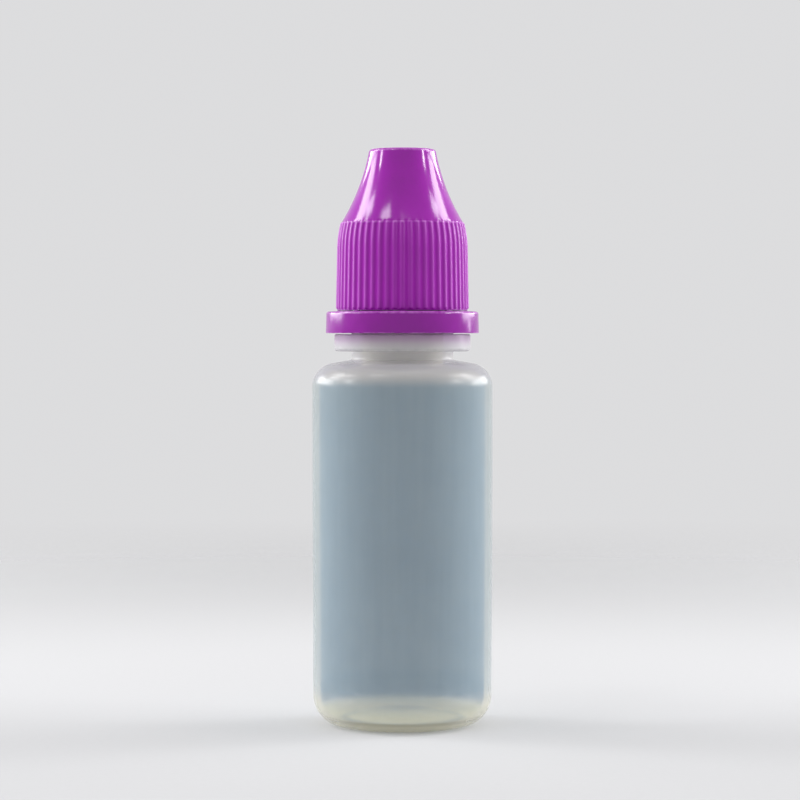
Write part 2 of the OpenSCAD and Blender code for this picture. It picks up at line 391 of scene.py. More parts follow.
def turned_piece(name, bands, closed=False):
    """A mesh object turned round Z from bands of rows. Rows on the axis become one point."""
    points, rings, faces = [], [], []
    marks = {}
    total = 0
    for band in bands:
        turns, radius, height, found = band.points()
        for index in range(len(radius)):
            pole = radius[index].max() < 1e-6
            take = slice(0, 1) if pole else slice(None)
            angle = turns[take] * FULL_TURN
            r, z = radius[index][take], height[index][take]
            points.append(np.stack((r * np.cos(angle), r * np.sin(angle), z), axis=1))
            for key in MARKS:
                value = found[key][index][take] if key in found else np.zeros(len(r))
                marks.setdefault(key, []).append(value)
            rings.append((total, len(r)))
            total += len(r)
    pairs = list(zip(rings, rings[1:]))
    if closed:
        pairs.append((rings[-1], rings[0]))
    for lower, upper in pairs:
        if lower[1] > 1 or upper[1] > 1:
            faces.extend(strip(lower, upper))
    mesh = bpy.data.meshes.new(name)
    mesh.from_pydata((np.concatenate(points) / MM).tolist(), [], faces)
    for key, values in marks.items():
        layer = mesh.attributes.new(key, "FLOAT", "POINT")
        layer.data.foreach_set("value", np.concatenate(values).astype(np.float32))
    mesh.shade_smooth()
    mesh.set_sharp_from_angle(angle=math.radians(32))
    mesh.update()
    piece = bpy.data.objects.new(name, mesh)
    bpy.context.scene.collection.objects.link(piece)
    return piece


def hand_over(piece, body, node, material):
    """Dresses a piece and puts it in the place of its CAD node."""
    piece.data.materials.append(material)
    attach(piece, body)
    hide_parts(node)


# Shader work


def put(tree, kind, label, values=None, **settings):
    """Adds one node to a tree, labels it and sets its values and settings."""
    node = tree.nodes.new(kind)
    node.label = label
    for name, value in settings.items():
        setattr(node, name, value)
    for name, value in (values or {}).items():
        node.inputs[name].default_value = value
    node.location = (180 * (len(tree.nodes) % 9), -220 * (len(tree.nodes) // 9))
    return node


def new_group(name, inputs, outputs):
    """An empty shader node group with float inputs (name, default) and outputs."""
    group = bpy.data.node_groups.new(name, "ShaderNodeTree")
    for label, default in inputs:
        socket = group.interface.new_socket(label, in_out="INPUT", socket_type="NodeSocketFloat")
        socket.default_value = default
    for label in outputs:
        group.interface.new_socket(label, in_out="OUTPUT", socket_type="NodeSocketFloat")
    start = group.nodes.new("NodeGroupInput")
    end = group.nodes.new("NodeGroupOutput")
    return group, start.outputs, end.inputs


def placed(tree, build, *values):
    """Puts a node group into a material, with its own values in the order of the group's inputs.
    The first use builds the group.
    """
    name = build.__name__.replace("_", " ").capitalize()
    group = bpy.data.node_groups.get(name) or build(name)
    node = put(tree, "ShaderNodeGroup", name, node_tree=group)
    for socket, value in zip(node.inputs, values):
        socket.default_value = value
    return node


def in_millimetres(tree, stretch=(1.0, 1.0, 1.0)):
    """The piece's own coordinates in millimetres, with each axis stretched."""
    place = put(tree, "ShaderNodeTexCoord", "own place")
    scaled = put(tree, "ShaderNodeVectorMath", "to mm", operation="MULTIPLY")
    scaled.inputs[1].default_value = [MM * share for share in stretch]
    tree.links.new(place.outputs["Object"], scaled.inputs[0])
    return scaled.outputs["Vector"]


def noise(tree, vector, size, detail, label):
    """Cloudy noise whose lumps are about size mm wide. size may be a number or a socket."""
    node = put(tree, "ShaderNodeTexNoise", label, {"Detail": detail, "Roughness": 0.55})
    tree.links.new(vector, node.inputs["Vector"])
    if isinstance(size, (int, float)):
        node.inputs["Scale"].default_value = 1 / size
    else:
        inverse = put(tree, "ShaderNodeMath", "lumps per mm", operation="DIVIDE")
        inverse.inputs[0].default_value = 1.0
        tree.links.new(size, inverse.inputs[1])
        tree.links.new(inverse.outputs[0], node.inputs["Scale"])
    return node.outputs["Fac"]


def maths(tree, operation, first, second, label="", clamp=False):
    """One sum on two numbers or sockets."""
    node = put(tree, "ShaderNodeMath", label or operation.lower(), operation=operation)
    node.use_clamp = clamp
    for index, value in enumerate((first, second)):
        if isinstance(value, (int, float)):
            node.inputs[index].default_value = value
        else:
            tree.links.new(value, node.inputs[index])
    return node.outputs[0]


def plus(tree, base, extra, share, label):
    """The base value with a share of an extra one added."""
    total = maths(tree, "MULTIPLY_ADD", extra, share, label)
    tree.links.new(base, total.node.inputs[2])
    return total


def shaded(colour, share):
    """A colour made darker, or lighter with a share over 1."""
    return [min(1.0, part * share) for part in colour]


def ramp(tree, value, low, high, out_low=0.0, out_high=1.0, label="range"):
    """Moves a value from the range low..high to out_low..out_high, held at the ends."""
    node = put(tree, "ShaderNodeMapRange", label)
    node.inputs["From Min"].default_value = low
    node.inputs["From Max"].default_value = high
    for name, limit in (("To Min", out_low), ("To Max", out_high)):
        if isinstance(limit, (int, float)):
            node.inputs[name].default_value = limit
        else:
            tree.links.new(limit, node.inputs[name])
    tree.links.new(value, node.inputs["Value"])
    return node.outputs["Result"]


def blended(tree, share, first, second, label="blend"):
    """A mix of two colours, each a colour or a socket."""
    node = put(tree, "ShaderNodeMix", label, data_type="RGBA")
    for index, value in ((0, share), (6, first), (7, second)):
        if isinstance(value, (int, float)):
            node.inputs[index].default_value = value
        elif isinstance(value, bpy.types.NodeSocket):
            tree.links.new(value, node.inputs[index])
        else:
            node.inputs[index].default_value = (*value[:3], 1.0)
    return node.outputs[2]


def mark(tree, name):
    """The number that the mesh rows carry under this name."""
    node = put(tree, "ShaderNodeAttribute", name, attribute_name=name)
    return node.outputs["Fac"]


def moulded_skin(name):
    """Skin of moulded plastic: fine grain, soft sinks, and a roughness that varies with both."""
    group, start, end = new_group(
        name,
        [("Grain Size", 0.3), ("Sink Size", 4), ("Gloss Roughness", 0.2), ("Dull Roughness", 0.3)],
        ["Height", "Roughness", "Cloud"],
    )
    place = in_millimetres(group)
    grain = noise(group, place, start["Grain Size"], 3.0, "grain")
    sinks = noise(group, place, start["Sink Size"], 1.0, "sinks")
    group.links.new(plus(group, sinks, grain, 0.35, "height"), end["Height"])
    spread = plus(group, maths(group, "MULTIPLY", sinks, 0.5), grain, 0.5, "spread")
    gloss, dull = start["Gloss Roughness"], start["Dull Roughness"]
    rough = ramp(group, spread, 0.35, 0.65, gloss, dull, "gloss to dull")
    group.links.new(rough, end["Roughness"])
    group.links.new(sinks, end["Cloud"])
    return group


def rubbed_edge(name):
    """Lighter edges, partly scuffing and partly painted highlight: the mesh's edge mark broken up
    by noise. Crease gives the crease marks.
    """
    group, start, end = new_group(name, [("Patch Size", 1.2), ("Amount", 0.6)], ["Wear", "Crease"])
    place = in_millimetres(group)
    patches = noise(group, place, start["Patch Size"], 4.0, "patches")
    edge = mark(group, "edge")
    broken = maths(group, "MULTIPLY", edge, ramp(group, patches, 0.35, 0.62, label="broken up"))
    wear_and_highlight = maths(group, "MULTIPLY", broken, start["Amount"], "wear_and_highlight", clamp=True)
    crease = maths(group, "MULTIPLY", edge, -1.0, "crease", clamp=True)
    group.links.new(wear_and_highlight, end["Wear"])
    group.links.new(crease, end["Crease"])
    return group


def handling_marks(name):
    """Faint marks of handling: hair scratches and smudges."""
    group, start, end = new_group(
        name, [("Scratch Size", 0.12), ("Smudge Size", 5.0)], ["Scratches", "Smudges"]
    )
    long_way = in_millimetres(group, (1.0, 1.0, 0.06))
    hairs = noise(group, long_way, start["Scratch Size"], 2.0, "hairs")
    rare = noise(group, in_millimetres(group), 2.5, 1.0, "where")
    thin = ramp(group, hairs, 0.70, 0.78, label="thin")
    scratches = maths(group, "MULTIPLY", thin, ramp(group, rare, 0.52, 0.62, label="rare"))
    group.links.new(scratches, end["Scratches"])
    smudge = noise(group, in_millimetres(group), start["Smudge Size"], 2.0, "smudge")
    group.links.new(ramp(group, smudge, 0.45, 0.7, label="smudges"), end["Smudges"])
    return group


def milky_cloud(name):
    """How dense the milky plastic is: slow clouds, and streaks drawn along the bottle."""
    group, start, end = new_group(name, [("Cloud Size", 7.0), ("Streak Size", 1.1)], ["Density"])
    clouds = noise(group, in_millimetres(group), start["Cloud Size"], 2.0, "clouds")
    drawn = in_millimetres(group, (1.0, 1.0, 0.07))
    streaks = noise(group, drawn, start["Streak Size"], 2.0, "streaks")
    density = plus(group, maths(group, "MULTIPLY", clouds, 0.6), streaks, 0.4, "density")
    group.links.new(density, end["Density"])
    return group


def new_material(name, **values):
    """A material whose one shader has these values. Returns it, its tree and the shader."""
    material = bpy.data.materials.new(name)
    material.use_nodes = True
    tree = material.node_tree
    shader = tree.nodes["Principled BSDF"]
    for socket, value in values.items():
        shader.inputs[socket.replace("_", " ")].default_value = value
    return material, tree, shader


def bumped(tree, shader, height, distance, strength=0.5):
    """Feeds a height in mm to the shader's normal."""
    node = put(tree, "ShaderNodeBump", "relief", {"Strength": strength, "Distance": distance / MM})
    tree.links.new(height, node.inputs["Height"])
    tree.links.new(node.outputs["Normal"], shader.inputs["Normal"])


def surfaced(tree, shader, skin, hands, rough, scratch_depth, relief):
    """Feeds a moulding's roughness, with its smudges, and the relief of its skin and scratches."""
    rough = plus(tree, rough, hands.outputs["Smudges"], SMUDGE_ROUGHNESS, "smudged")
    tree.links.new(rough, shader.inputs["Roughness"])
    scratches = hands.outputs["Scratches"]
    height = plus(tree, skin.outputs["Height"], scratches, -scratch_depth, "scratched")
    bumped(tree, shader, height, relief)


def milky_bottle_material(sizes, cap_colour):
    """Half clear milky plastic: pale where thick (neck and foot partly as painted light), grey-blue
    in the wall, painted shade in the hollow.
    """
    material, tree, shader = new_material("milky_bottle", IOR=1.51, Specular_IOR_Level=0.36)
    skin = placed(tree, moulded_skin, 0.22, 3.5, 0.19, 0.23)
    density = placed(tree, milky_cloud, 8.0, 1.3).outputs["Density"]
    hands = placed(tree, handling_marks, 0.1, 6.0)
    worn_and_lit = placed(tree, rubbed_edge, 1.0, 0.5)
    thick, groove = mark(tree, "thick"), mark(tree, "groove")
    streaked = ramp(tree, density, 0.35, 0.65, label="streaked")
    outside = blended(tree, streaked, shaded(sizes.wall_colour, 0.96), sizes.wall_colour, "wall")
    outside = blended(tree, thick, outside, sizes.thick_colour, "shoulder")
    # Neck and collar lighter: partly the thick plastic, partly painted light
    outside = blended(tree, mark(tree, "pale"), outside, sizes.neck_colour, "neck")
    # Foot lighter and warmer: partly thick plastic, partly painted light from the floor
    outside = blended(tree, mark(tree, "low"), outside, sizes.foot_colour, "foot")
    # Edges lighter: partly scuffing, partly painted highlight
    edge_highlight_and_wear = shaded(sizes.thick_colour, 1.18)
    outside = blended(tree, worn_and_lit.outputs["Wear"], outside, edge_highlight_and_wear, "rubbed edges")
    # Painted shadow and purple light from the band on the collar
    outside = blended(tree, mark(tree, "tint"), outside, cap_colour, "glow from the band")
    # Painted shade: a dark line round the foot
    outside = blended(tree, groove, outside, shaded(sizes.foot_colour, 0.4), "foot line")
    # Inner face: painted shade of the hollow in the wall, painted light on the inner floor and
    # under the shoulder
    hollow = blended(tree, thick, sizes.hollow_colour, sizes.floor_colour, "hollow")
    # Painted shade: the dark ring on the inner floor
    hollow = blended(tree, groove, hollow, sizes.hollow_colour, "floor's groove")
    colour = blended(tree, mark(tree, "inside"), outside, hollow, "outside or inside")
    tree.links.new(colour, shader.inputs["Base Color"])

    # Milky plastic hides a part of what is behind it and lets light on into the hollow.
    side = put(tree, "ShaderNodeNewGeometry", "side of the face")
    far_face = ramp(tree, side.outputs["Backfacing"], 0.0, 1.0, 1.0, 0.0, "seen from the hollow")
    added = maths(tree, "MULTIPLY", mark(tree, "within"), far_face, "far wall")
    cover = maths(tree, "ADD", mark(tree, "cover"), added, "near or far wall")
    denser = ramp(tree, density, 0.3, 0.7, 0.97, 1.03, "denser")
    cover = maths(tree, "MULTIPLY", cover, denser, "cover", clamp=True)
    shadow = put(tree, "ShaderNodeLightPath", "ray").outputs["Is Shadow Ray"]
    passed = ramp(tree, shadow, 0.0, 1.0, 1.0, sizes.shadow_share, "shadow share")
    tree.links.new(maths(tree, "MULTIPLY", cover, passed, "alpha"), shader.inputs["Alpha"])

    surfaced(tree, shader, skin, hands, skin.outputs["Roughness"], 0.1, 0.0012)
    return material


def tip_material(tip):
    """Milky plastic of the dropper tip."""
    material, tree, shader = new_material("milky_tip", IOR=1.51)
    skin = placed(tree, moulded_skin, 0.15, 2.0, 0.30, 0.38)
    density = placed(tree, milky_cloud, 3.0, 0.6).outputs["Density"]
    worn_and_lit = placed(tree, rubbed_edge, 0.6, 0.5)
    streaked = ramp(tree, density, 0.35, 0.65, label="streaked")
    colour = blended(tree, streaked, shaded(tip.colour, 0.9), tip.colour, "plastic")
    # Edges lighter: partly scuffing, partly painted highlight
    colour = blended(tree, worn_and_lit.outputs["Wear"], colour, shaded(tip.colour, 1.2), "rubbed edges")
    # Painted shade: the tip's crease marks made darker
    colour = blended(tree, worn_and_lit.outputs["Crease"], colour, shaded(tip.colour, 0.8), "crease_shade")
    tree.links.new(colour, shader.inputs["Base Color"])
    tree.links.new(ramp(tree, density, 0.3, 0.7, 0.66, 0.76, "cover"), shader.inputs["Alpha"])
    tree.links.new(skin.outputs["Roughness"], shader.inputs["Roughness"])
    bumped(tree, shader, skin.outputs["Height"], 0.008)
    return material


def purple_material(name, cap, pigment, grain, gloss, dull, sheen):
    """Purple moulded plastic: glossy on smooth faces, satin on the ribs, edges lighter, partly
    scuffed and partly as painted highlight.
    """
    bloom = {"Sheen_Weight": sheen, "Sheen_Roughness": 0.3, "Sheen_Tint": (1.0, 0.82, 1.0, 1.0)}
    material, tree, shader = new_material(name, IOR=1.49, **bloom)
    skin = placed(tree, moulded_skin, grain, 2.2, gloss, dull)
    hands = placed(tree, handling_marks, 0.08, 3.0)
    worn_and_lit = placed(tree, rubbed_edge, 0.7, 0.75)
    ribbed, groove = mark(tree, "ribbed"), mark(tree, "groove")
    clouded = ramp(tree, skin.outputs["Cloud"], 0.3, 0.7, label="clouded")
    colour = blended(tree, clouded, shaded(pigment, 0.92), pigment, "pigment")
    # Rib crests lighter: partly painted highlight where they catch the light, partly scuffing
    crest_highlight_share = maths(tree, "MULTIPLY", ribbed, 0.10, "rib crests")
    colour = blended(tree, crest_highlight_share, colour, cap.rubbed_colour, "rubbed ribs")
    # Edges lighter: partly scuffing, partly painted highlight
    colour = blended(tree, worn_and_lit.outputs["Wear"], colour, cap.rubbed_colour, "rubbed edges")
    lit_share = maths(tree, "MULTIPLY", groove, 0.5, "groove floors")
    colour = blended(tree, lit_share, colour, shaded(pigment, 1.3), "light in the grooves")
    tree.links.new(colour, shader.inputs["Base Color"])
    skirt = maths(tree, "ADD", ribbed, groove, "skirt", clamp=True)
    rough = plus(tree, skin.outputs["Roughness"], skirt, SATIN_ROUGHNESS, "satin skirt")
    surfaced(tree, shader, skin, hands, rough, 0.3, 0.0014)
    return material


# The pieces


class SqueezeBottle(bpy.types.Operator):
    """Builds the milky squeeze bottle with its neck, collar, bead, thread and hollow foot."""

    bl_idname = "dropbottle.squeeze_bottle"
    bl_label = "Squeeze Bottle"

    def execute(self, context):
        sizes = context.scene.drop_bottle
        body, neck, bore = in_mm(sizes, "body_radius", "neck_radius", "bore_radius")
        shoulder, mouth, push_up = in_mm(sizes, "shoulder_height", "mouth_height", "push_up")
        wall, foot_round, shoulder_round = in_mm(sizes, "wall", "foot_round", "shoulder_round")
        pitch, depth = in_mm(sizes, "pitch", "thread_depth")
        foot = body - FOOT_INSET
        neck_foot = shoulder + SHOULDER_RISE
        collar = neck_foot + BARE_NECK
        collar_top = RING_BOX[0].z * MM - COLLAR_GAP
        collar_out = neck + COLLAR_OUT
        bead = RING_BOX[0].z * MM + BEAD_RISE
        bead_out = neck + BEAD_OUT
        thread = CAP_BOX[0].z * MM + THREAD_START
        flat = foot - foot_round
        dish = flat - FOOT_RING

        def dome(step, lift):
            share = step / DOME_STEPS
            return (dish * share, push_up * (1 - share**3) + lift, 0.0)

        outer = [dome(step, 0.0) for step in range(DOME_STEPS)]
        outer += softened([(dish * 0.95, push_up * 0.12, 0.0), (dish, 0.0, 0.3), (flat, 0.0, 0.0)])
        outer += arc_rows(flat, foot_round, foot_round, -90, 0, 22)[1:]
        outer += [(body, shoulder * 0.7, 0.0)]
        turn_r, turn_z = body - shoulder_round, shoulder - shoulder_round
        outer += arc_rows(turn_r, turn_z, shoulder_round, 0, 80, 22)
        outer += arc_rows(neck + 0.3, neck_foot + 0.27, 0.3, -100, -180, 6)
        collar_and_bead = [
            (neck, collar - 0.4, 0.0),
            (neck, collar, 0.15),
            (collar_out, collar, 0.42),
            (collar_out, collar_top, 0.2),
            (neck, collar_top, 0.12),
            (neck, bead, 0.08),
            (bead_out, bead + 0.05, 0.12),
            (bead_out, bead + 0.34, 0.12),
            (neck, bead + 1.3, 0.25),
            (neck, bead + 1.5, 0.0),
        ]
        outer += softened(collar_and_bead)
        lip = (bore + 0.25, mouth, 0.0)
        neck_rows = filled(softened([(neck, bead + 1.5, 0.0), (neck, mouth, 0.28), lip]), 0.075)
        inner = softened([lip, (bore, mouth - 0.25, 0.1), (bore, neck_foot + 0.3, 0.0)])
        inner += arc_rows(bore + 0.5, neck_foot - 0.4, 0.5, 180, 260, 6)
        inner += arc_rows(turn_r, turn_z, shoulder_round - wall, 80, 0, 16)
        inner += [(body - wall, shoulder * 0.7, 0.0)]
        inner += arc_rows(flat, foot_round, foot_round - wall, 0, -90, 18)
        inner += [dome(step, wall + 0.05) for step in range(DOME_STEPS, -1, -1)]

        # Marks of the outer face, then of the inner one, at each radius and height
        def outer_low(radius, height):
            return 1 - eased((height - 2.4) / 2.7)

        def outer_high(radius, height):
            return eased((height - (turn_z - 0.2)) / 1.8)

        def outer_thick(radius, height):
            return np.maximum(outer_low(radius, height), outer_high(radius, height))

        # Neck, collar and mouth: where the lighter neck colour, partly painted light, goes
        def outer_pale(radius, height):
            return eased((height - (neck_foot - 0.25)) / 0.3)

        # Painted shade: a dark line round the foot above the floor
        def foot_line(radius, height):
            return 0.6 * np.exp(-(((height - 1.2) / 0.24) ** 2)) * (radius > flat)

        # Painted shadow and purple light that the band throws on the collar's top
        def band_glow(radius, height):
            rise = eased((height - (collar + 0.3)) / (collar_top - collar - 0.3))
            return 0.6 * rise * (height > collar)

        def outer_cover(radius, height):
            cover = toward(sizes.wall_cover, sizes.thick_cover, outer_high(radius, height))
            cover = cover - 0.05 * (1 - eased((height - 4.6) / 2.2))
            bare = eased((height - neck_foot + 0.1) / 0.2) * (height < collar - 0.05)
            return toward(cover, sizes.neck_cover, bare)

        def inner_low(radius, height):
            return 1 - eased((height - 5.0) / 1.6)

        def inner_cover(radius, height):
            neck_part = eased((height - turn_z - 1.0) / 1.5)
            cover = toward(sizes.hollow_cover, sizes.neck_cover, neck_part)
            cover = toward(cover, sizes.corner_cover, inner_low(radius, height))
            base = (height < 2.6) * eased((flat + 1.2 - radius) / 0.5)
            return toward(cover, FLOOR_COVER, base)

        def far_cover(radius, height):
            missing = np.maximum(FAR_WALL_COVER - inner_cover(radius, height), 0.0)
            return missing * inner_low(radius, height)

        # On the inner face this mark picks the inner floor's painted light over the hollow's
        # painted shade
        def inner_thick(radius, height):
            low = 1 - eased((height - 1.8) / 1.0)
            high = eased((height - (turn_z - 0.2)) / 1.7)
            return np.maximum(low, high)

        # Painted shade: a dark ring on the inner floor over the foot ring
        def floor_groove(radius, height):
            near = 1 - np.abs(radius - flat + 0.15) / 0.75
            return eased(near) * (height < 2.0)

        def seams(turns, radius, height):
            side = (np.abs(turns - 0.5) % 0.5) * FULL_TURN
            side = np.minimum(side, math.pi - side) * radius
            ridge = np.exp(-((side / 0.16) ** 2)) * (radius > bore + 0.6)
            wall_part = eased((height - 1.0) / 2.0) * eased((turn_z + 1.5 - height) / 2.0)
            radius = radius - 0.03 * wall_part * (1 - ridge)
            across = np.abs(np.sin(turns * FULL_TURN)) * radius
            pinch = np.exp(-((across / 0.22) ** 2)) * (height < 1.6) * (radius < dish)
            height = height - 0.10 * pinch * eased((dish - radius) / 1.2)
            return radius, height, {}

        def threaded(turns, radius, height):
            rise = thread_rise(turns, height, thread, pitch, 0.0, BOTTLE_THREAD_TURNS)
            raised = rise * (radius > neck - 0.02)
            return radius + depth * raised, height, {"ribbed": raised}

        bands = [
            Band(
                filled(outer, 0.6),
                BOTTLE_STEPS,
                seams,
                thick=outer_thick,
                tint=band_glow,
                pale=outer_pale,
                low=outer_low,
                groove=foot_line,
                cover=outer_cover,
            ),
            Band(neck_rows[1:], BOTTLE_STEPS, threaded, thick=1, pale=1, cover=sizes.thick_cover),
            Band(
                filled(inner, 0.6)[1:],
                BOTTLE_STEPS,
                thick=inner_thick,
                inside=1.0,
                groove=floor_groove,
                cover=inner_cover,
                within=far_cover,
            ),
        ]
        piece = turned_piece("squeeze_bottle", bands)
        material = milky_bottle_material(sizes, context.scene.drop_cap.colour)
        hand_over(piece, "bottle", "bottle", material)
        return {"FINISHED"}


class DropperTip(bpy.types.Operator):
    """Builds the snap-in dropper tip: plug, flange, nozzle and drop hole."""

    bl_idname = "dropbottle.dropper_tip"
    bl_label = "Dropper Tip"

    def execute(self, context):
        tip = context.scene.drop_tip
        bottle = context.scene.drop_bottle
        mouth, bore, neck = in_mm(bottle, "mouth_height", "bore_radius", "neck_radius")
        low, top, flange_height = in_mm(tip, "plug_end", "top_height", "flange_height")
        foot, end, hole = in_mm(tip, "foot_radius", "end_radius", "orifice_radius")
        plug = bore - PLUG_FIT
        flange = neck - FLANGE_INSET
        flange_top = mouth + flange_height
        corners = [
            (plug - 0.9, low, 0.12),
            (plug - 0.35, low, 0.15),
            (plug, low + 0.7, 0.2),
            (plug, mouth, 0.05),
            (flange, mouth, 0.1),
            (flange, flange_top, 0.25),
            (foot + 0.05, flange_top, 0.6),
            (end, top, 0.62),
            (hole + 0.5, top, 0.1),
            (hole, top - 1.3, 0.15),
            (hole, top - 2.1, 0.1),
            (hole + 0.35, top - 2.5, 0.2),
            (foot - 1, flange_top + 0.4, 0.4),
            (plug - 0.9, mouth - 0.9, 0.3),
        ]
        rows = filled(softened(corners, closed=True), 0.5)
        piece = turned_piece("dropper_nozzle", [Band(rows, TIP_STEPS)], closed=True)
        hand_over(piece, "bottle", "dropper_tip", tip_material(tip))
        return {"FINISHED"}


class ScrewCap(bpy.types.Operator):
    """Builds the screw cap: ribbed skirt, swept cone, flat top, sealing pin and inner thread."""

    bl_idname = "dropbottle.screw_cap"
    bl_label = "Screw Cap"

    def execute(self, context):
        cap = context.scene.drop_cap
        bottle = context.scene.drop_bottle
        low, top, deep = in_mm(cap, "low_height", "top_height", "rib_depth")
        skirt, bore, crown = in_mm(cap, "skirt_radius", "bore_radius", "top_radius")
        ceiling = top - CAP_ROOF
        tip_end = ceiling - NOZZLE_DEPTH
        skirt_top = top - CONE_HEIGHT
        bend = skirt_top - SKIRT_BEND
        bend_r = skirt - SKIRT_TAPER * (bend - low)
        pitch, depth = in_mm(bottle, "pitch", "thread_depth")
        steps = cap.ribs * STEPS_PER_RIB

        def skirt_r(z):
            if z < bend:
                return skirt - SKIRT_TAPER * (z - low)
            return bend_r - SKIRT_BEND_RADIUS + math.sqrt(SKIRT_BEND_RADIUS**2 - (z - bend) ** 2)

        def groove_row(z):
            return (skirt_r(z) - deep, z, 0.0)

        # The inside from the pin down to the lower edge, then the outside up to the gate mark
        foot = skirt_r(skirt_top)
        inner_foot = (foot - 1.2, skirt_top - 0.5)
        inner_crown = (crown - CAP_ROOF, ceiling - 0.35)
        pin_and_ceiling = [
            (0.0, tip_end - 1.1, 0.0),
            (0.27, tip_end - 1.1, 0.08),
            (0.53, tip_end - 0.9, 0.1),
            (0.88, tip_end, 0.1),
            (1.05, ceiling, 0.15),
            (crown - 1.45, ceiling, 0.2),
            (*inner_crown, 0.0),
        ]
        inner = softened(pin_and_ceiling)
        inner += sweep_rows(inner_foot, inner_crown, CONE_SWEEP + 1.2, 14)[-2::-1]
        inner_skirt = [
            (*inner_foot, 0.0),
            (bore, skirt_top - 2.4, 0.3),
            (bore, low + 0.35, 0.08),
            (bore + 0.35, low, 0.0),
        ]
        inner += filled(softened(inner_skirt), 0.08)[1:]
        inner += [(bore + 0.5, low, 0.0)]
        outer = softened([(bore + 0.5, low, 0.0), (skirt - deep, low, 0.1), groove_row(low + 0.3)])
        heights = [low + z for z in (0.36, 0.42, 0.5, 0.7)]
        heights += np.linspace(low + 1.2, bend, 8).tolist()
        heights += np.linspace(bend, skirt_top - 0.3, 12).tolist()[1:]
        heights += [skirt_top - z for z in (0.22, 0.16, 0.1, 0.05, 0.0)]
        outer += [groove_row(z) for z in heights]
        cone_foot = skirt_top + 1.6 * deep
        # These rows carry the edge mark, so the cone's foot gets a lighter line: painted highlight,
        # partly scuffing
        outer += [(foot - deep, skirt_top + z, 1.0) for z in (0.05, 0.1, 0.15, 0.2, 0.25)]
        edge_foot = top - TOP_EDGE
        outer += sweep_rows((foot - deep, cone_foot), (crown, edge_foot), CONE_SWEEP, 26)[:-1]
        outer += arc_rows(crown - TOP_EDGE, edge_foot, TOP_EDGE, 8, 90, 9, 1.0)
        outer += [(crown - 0.8, top, 0.0), (GATE_RADIUS, top, 0.0)]
        gate_mark = [
            (GATE_RADIUS, top, 0.0),
            (0.85, top, 0.12),
            (0.7, top - 0.16, 0.1),
            (0.32, top - 0.18, 0.05),
            (0.28, top - 0.06, 0.04),
            (0.0, top - 0.05, 0.0),
        ]

        def ribbed(turns, radius, height):
            place = (turns * cap.ribs) % 1.0
            off = np.abs(place - 0.5)
            crest = eased((0.44 - off) / 0.36)
            begins = eased((height - low - 0.10) / 0.22)
            slant = np.clip((cone_foot + 0.01 - height) / (cone_foot - skirt_top), 0, 1)
            rise = crest * begins * np.where(height > skirt_top - 0.12, eased(slant + 0.12), 1.0)
            rise = np.where(height > cone_foot - 0.01, 0.0, rise)
            in_skirt = (height < cone_foot) * (radius > crown) * eased((height - low - 0.05) / 0.1)
            crests = crest * in_skirt * eased(slant + 0.3)
            marks = {"ribbed": crests, "groove": (1 - crest) * in_skirt}
            return radius + deep * rise * (radius > crown + 1), height, marks

        def threaded(turns, radius, height):
            drop = 0.54 + 0.5 * (depth - 0.15) + 0.14
            start = (drop + 0.345) / pitch
            centre = low + THREAD_START - drop
            rise = thread_rise(turns, height, centre, pitch, start, CAP_THREAD_TURNS)
            rise = rise * (np.abs(radius - bore) < 0.02)
            return radius - depth * rise, height, {}

        bands = [
            Band(inner, steps // 3, threaded, inside=1.0),
            Band(outer, steps, ribbed),
            Band(softened(gate_mark)[1:], steps // 3),
        ]
        piece = turned_piece("screw_cap", bands)
        material = purple_material("purple_cap", cap, list(cap.colour), 0.18, 0.11, 0.15, 0.4)
        hand_over(piece, "cap", "cap", material)
        return {"FINISHED"}


class TearBand(bpy.types.Operator):
    """Builds the tear-off band: rim, inner hook and the small bridges under the cap."""

    bl_idname = "dropbottle.tear_band"
    bl_label = "Tear-off Band"

    def execute(self, context):
        cap = context.scene.drop_cap
        neck = context.scene.drop_bottle.neck_radius * MM
        low = RING_BOX[0].z * MM
        bridge_top = RING_BOX[1].z * MM
        top = cap.low_height * MM - BAND_GAP
        bore = neck + BAND_BORE
        rim = bore + BAND_WIDTH
        corners = [
            (neck + 0.45, low + 0.35, 0.08),
            (neck + 0.9, low, 0.1),
            (rim, low, 0.12),
            (rim - 0.07, top, 0.35),
            (bore + 0.55, top, 0.0),
            (bore + 0.53, top, 0.0),
            (bore + 0.07, top, 0.0),
            (bore + 0.05, top, 0.0),
            (bore, top, 0.03),
            (bore, low + 1.15, 0.1),
            (neck + 0.45, low + 0.75, 0.08),
        ]

        def bridged(turns, radius, height):
            off = np.abs((turns * BRIDGES + 0.5) % 1.0 - 0.5) / BRIDGES * FULL_TURN * radius
            bridge = eased((0.36 - off) / 0.1)
            on_top = (height > top - 0.001) * (radius > bore + 0.06) * (radius < bore + 0.54)
            height = height + (bridge_top - top) * bridge * on_top
            angle = turns * FULL_TURN
            flash = 0.5 + 0.5 * np.sin(23 * angle) * np.sin(37 * angle + 1.3) * np.sin(5 * angle)
            ragged = eased((flash - 0.72) / 0.25) * (height < low + 0.06) * (radius > rim - 0.2)
            radius = radius - 0.05 * ragged
            height = height + 0.07 * ragged
            return radius, height, {}

        rows = softened(corners, closed=True)
        piece = turned_piece("tear_band", [Band(rows, RING_STEPS, bridged)], closed=True)
        # Painted shade: the band is the cap's purple made darker, a shaded copy of the same plastic
        pigment = shaded(cap.colour, 0.8)
        material = purple_material("purple_band", cap, pigment, 0.2, 0.14, 0.22, 0.15)
        hand_over(piece, "tamper_ring", "tamper_ring", material)
        return {"FINISHED"}


# Stage


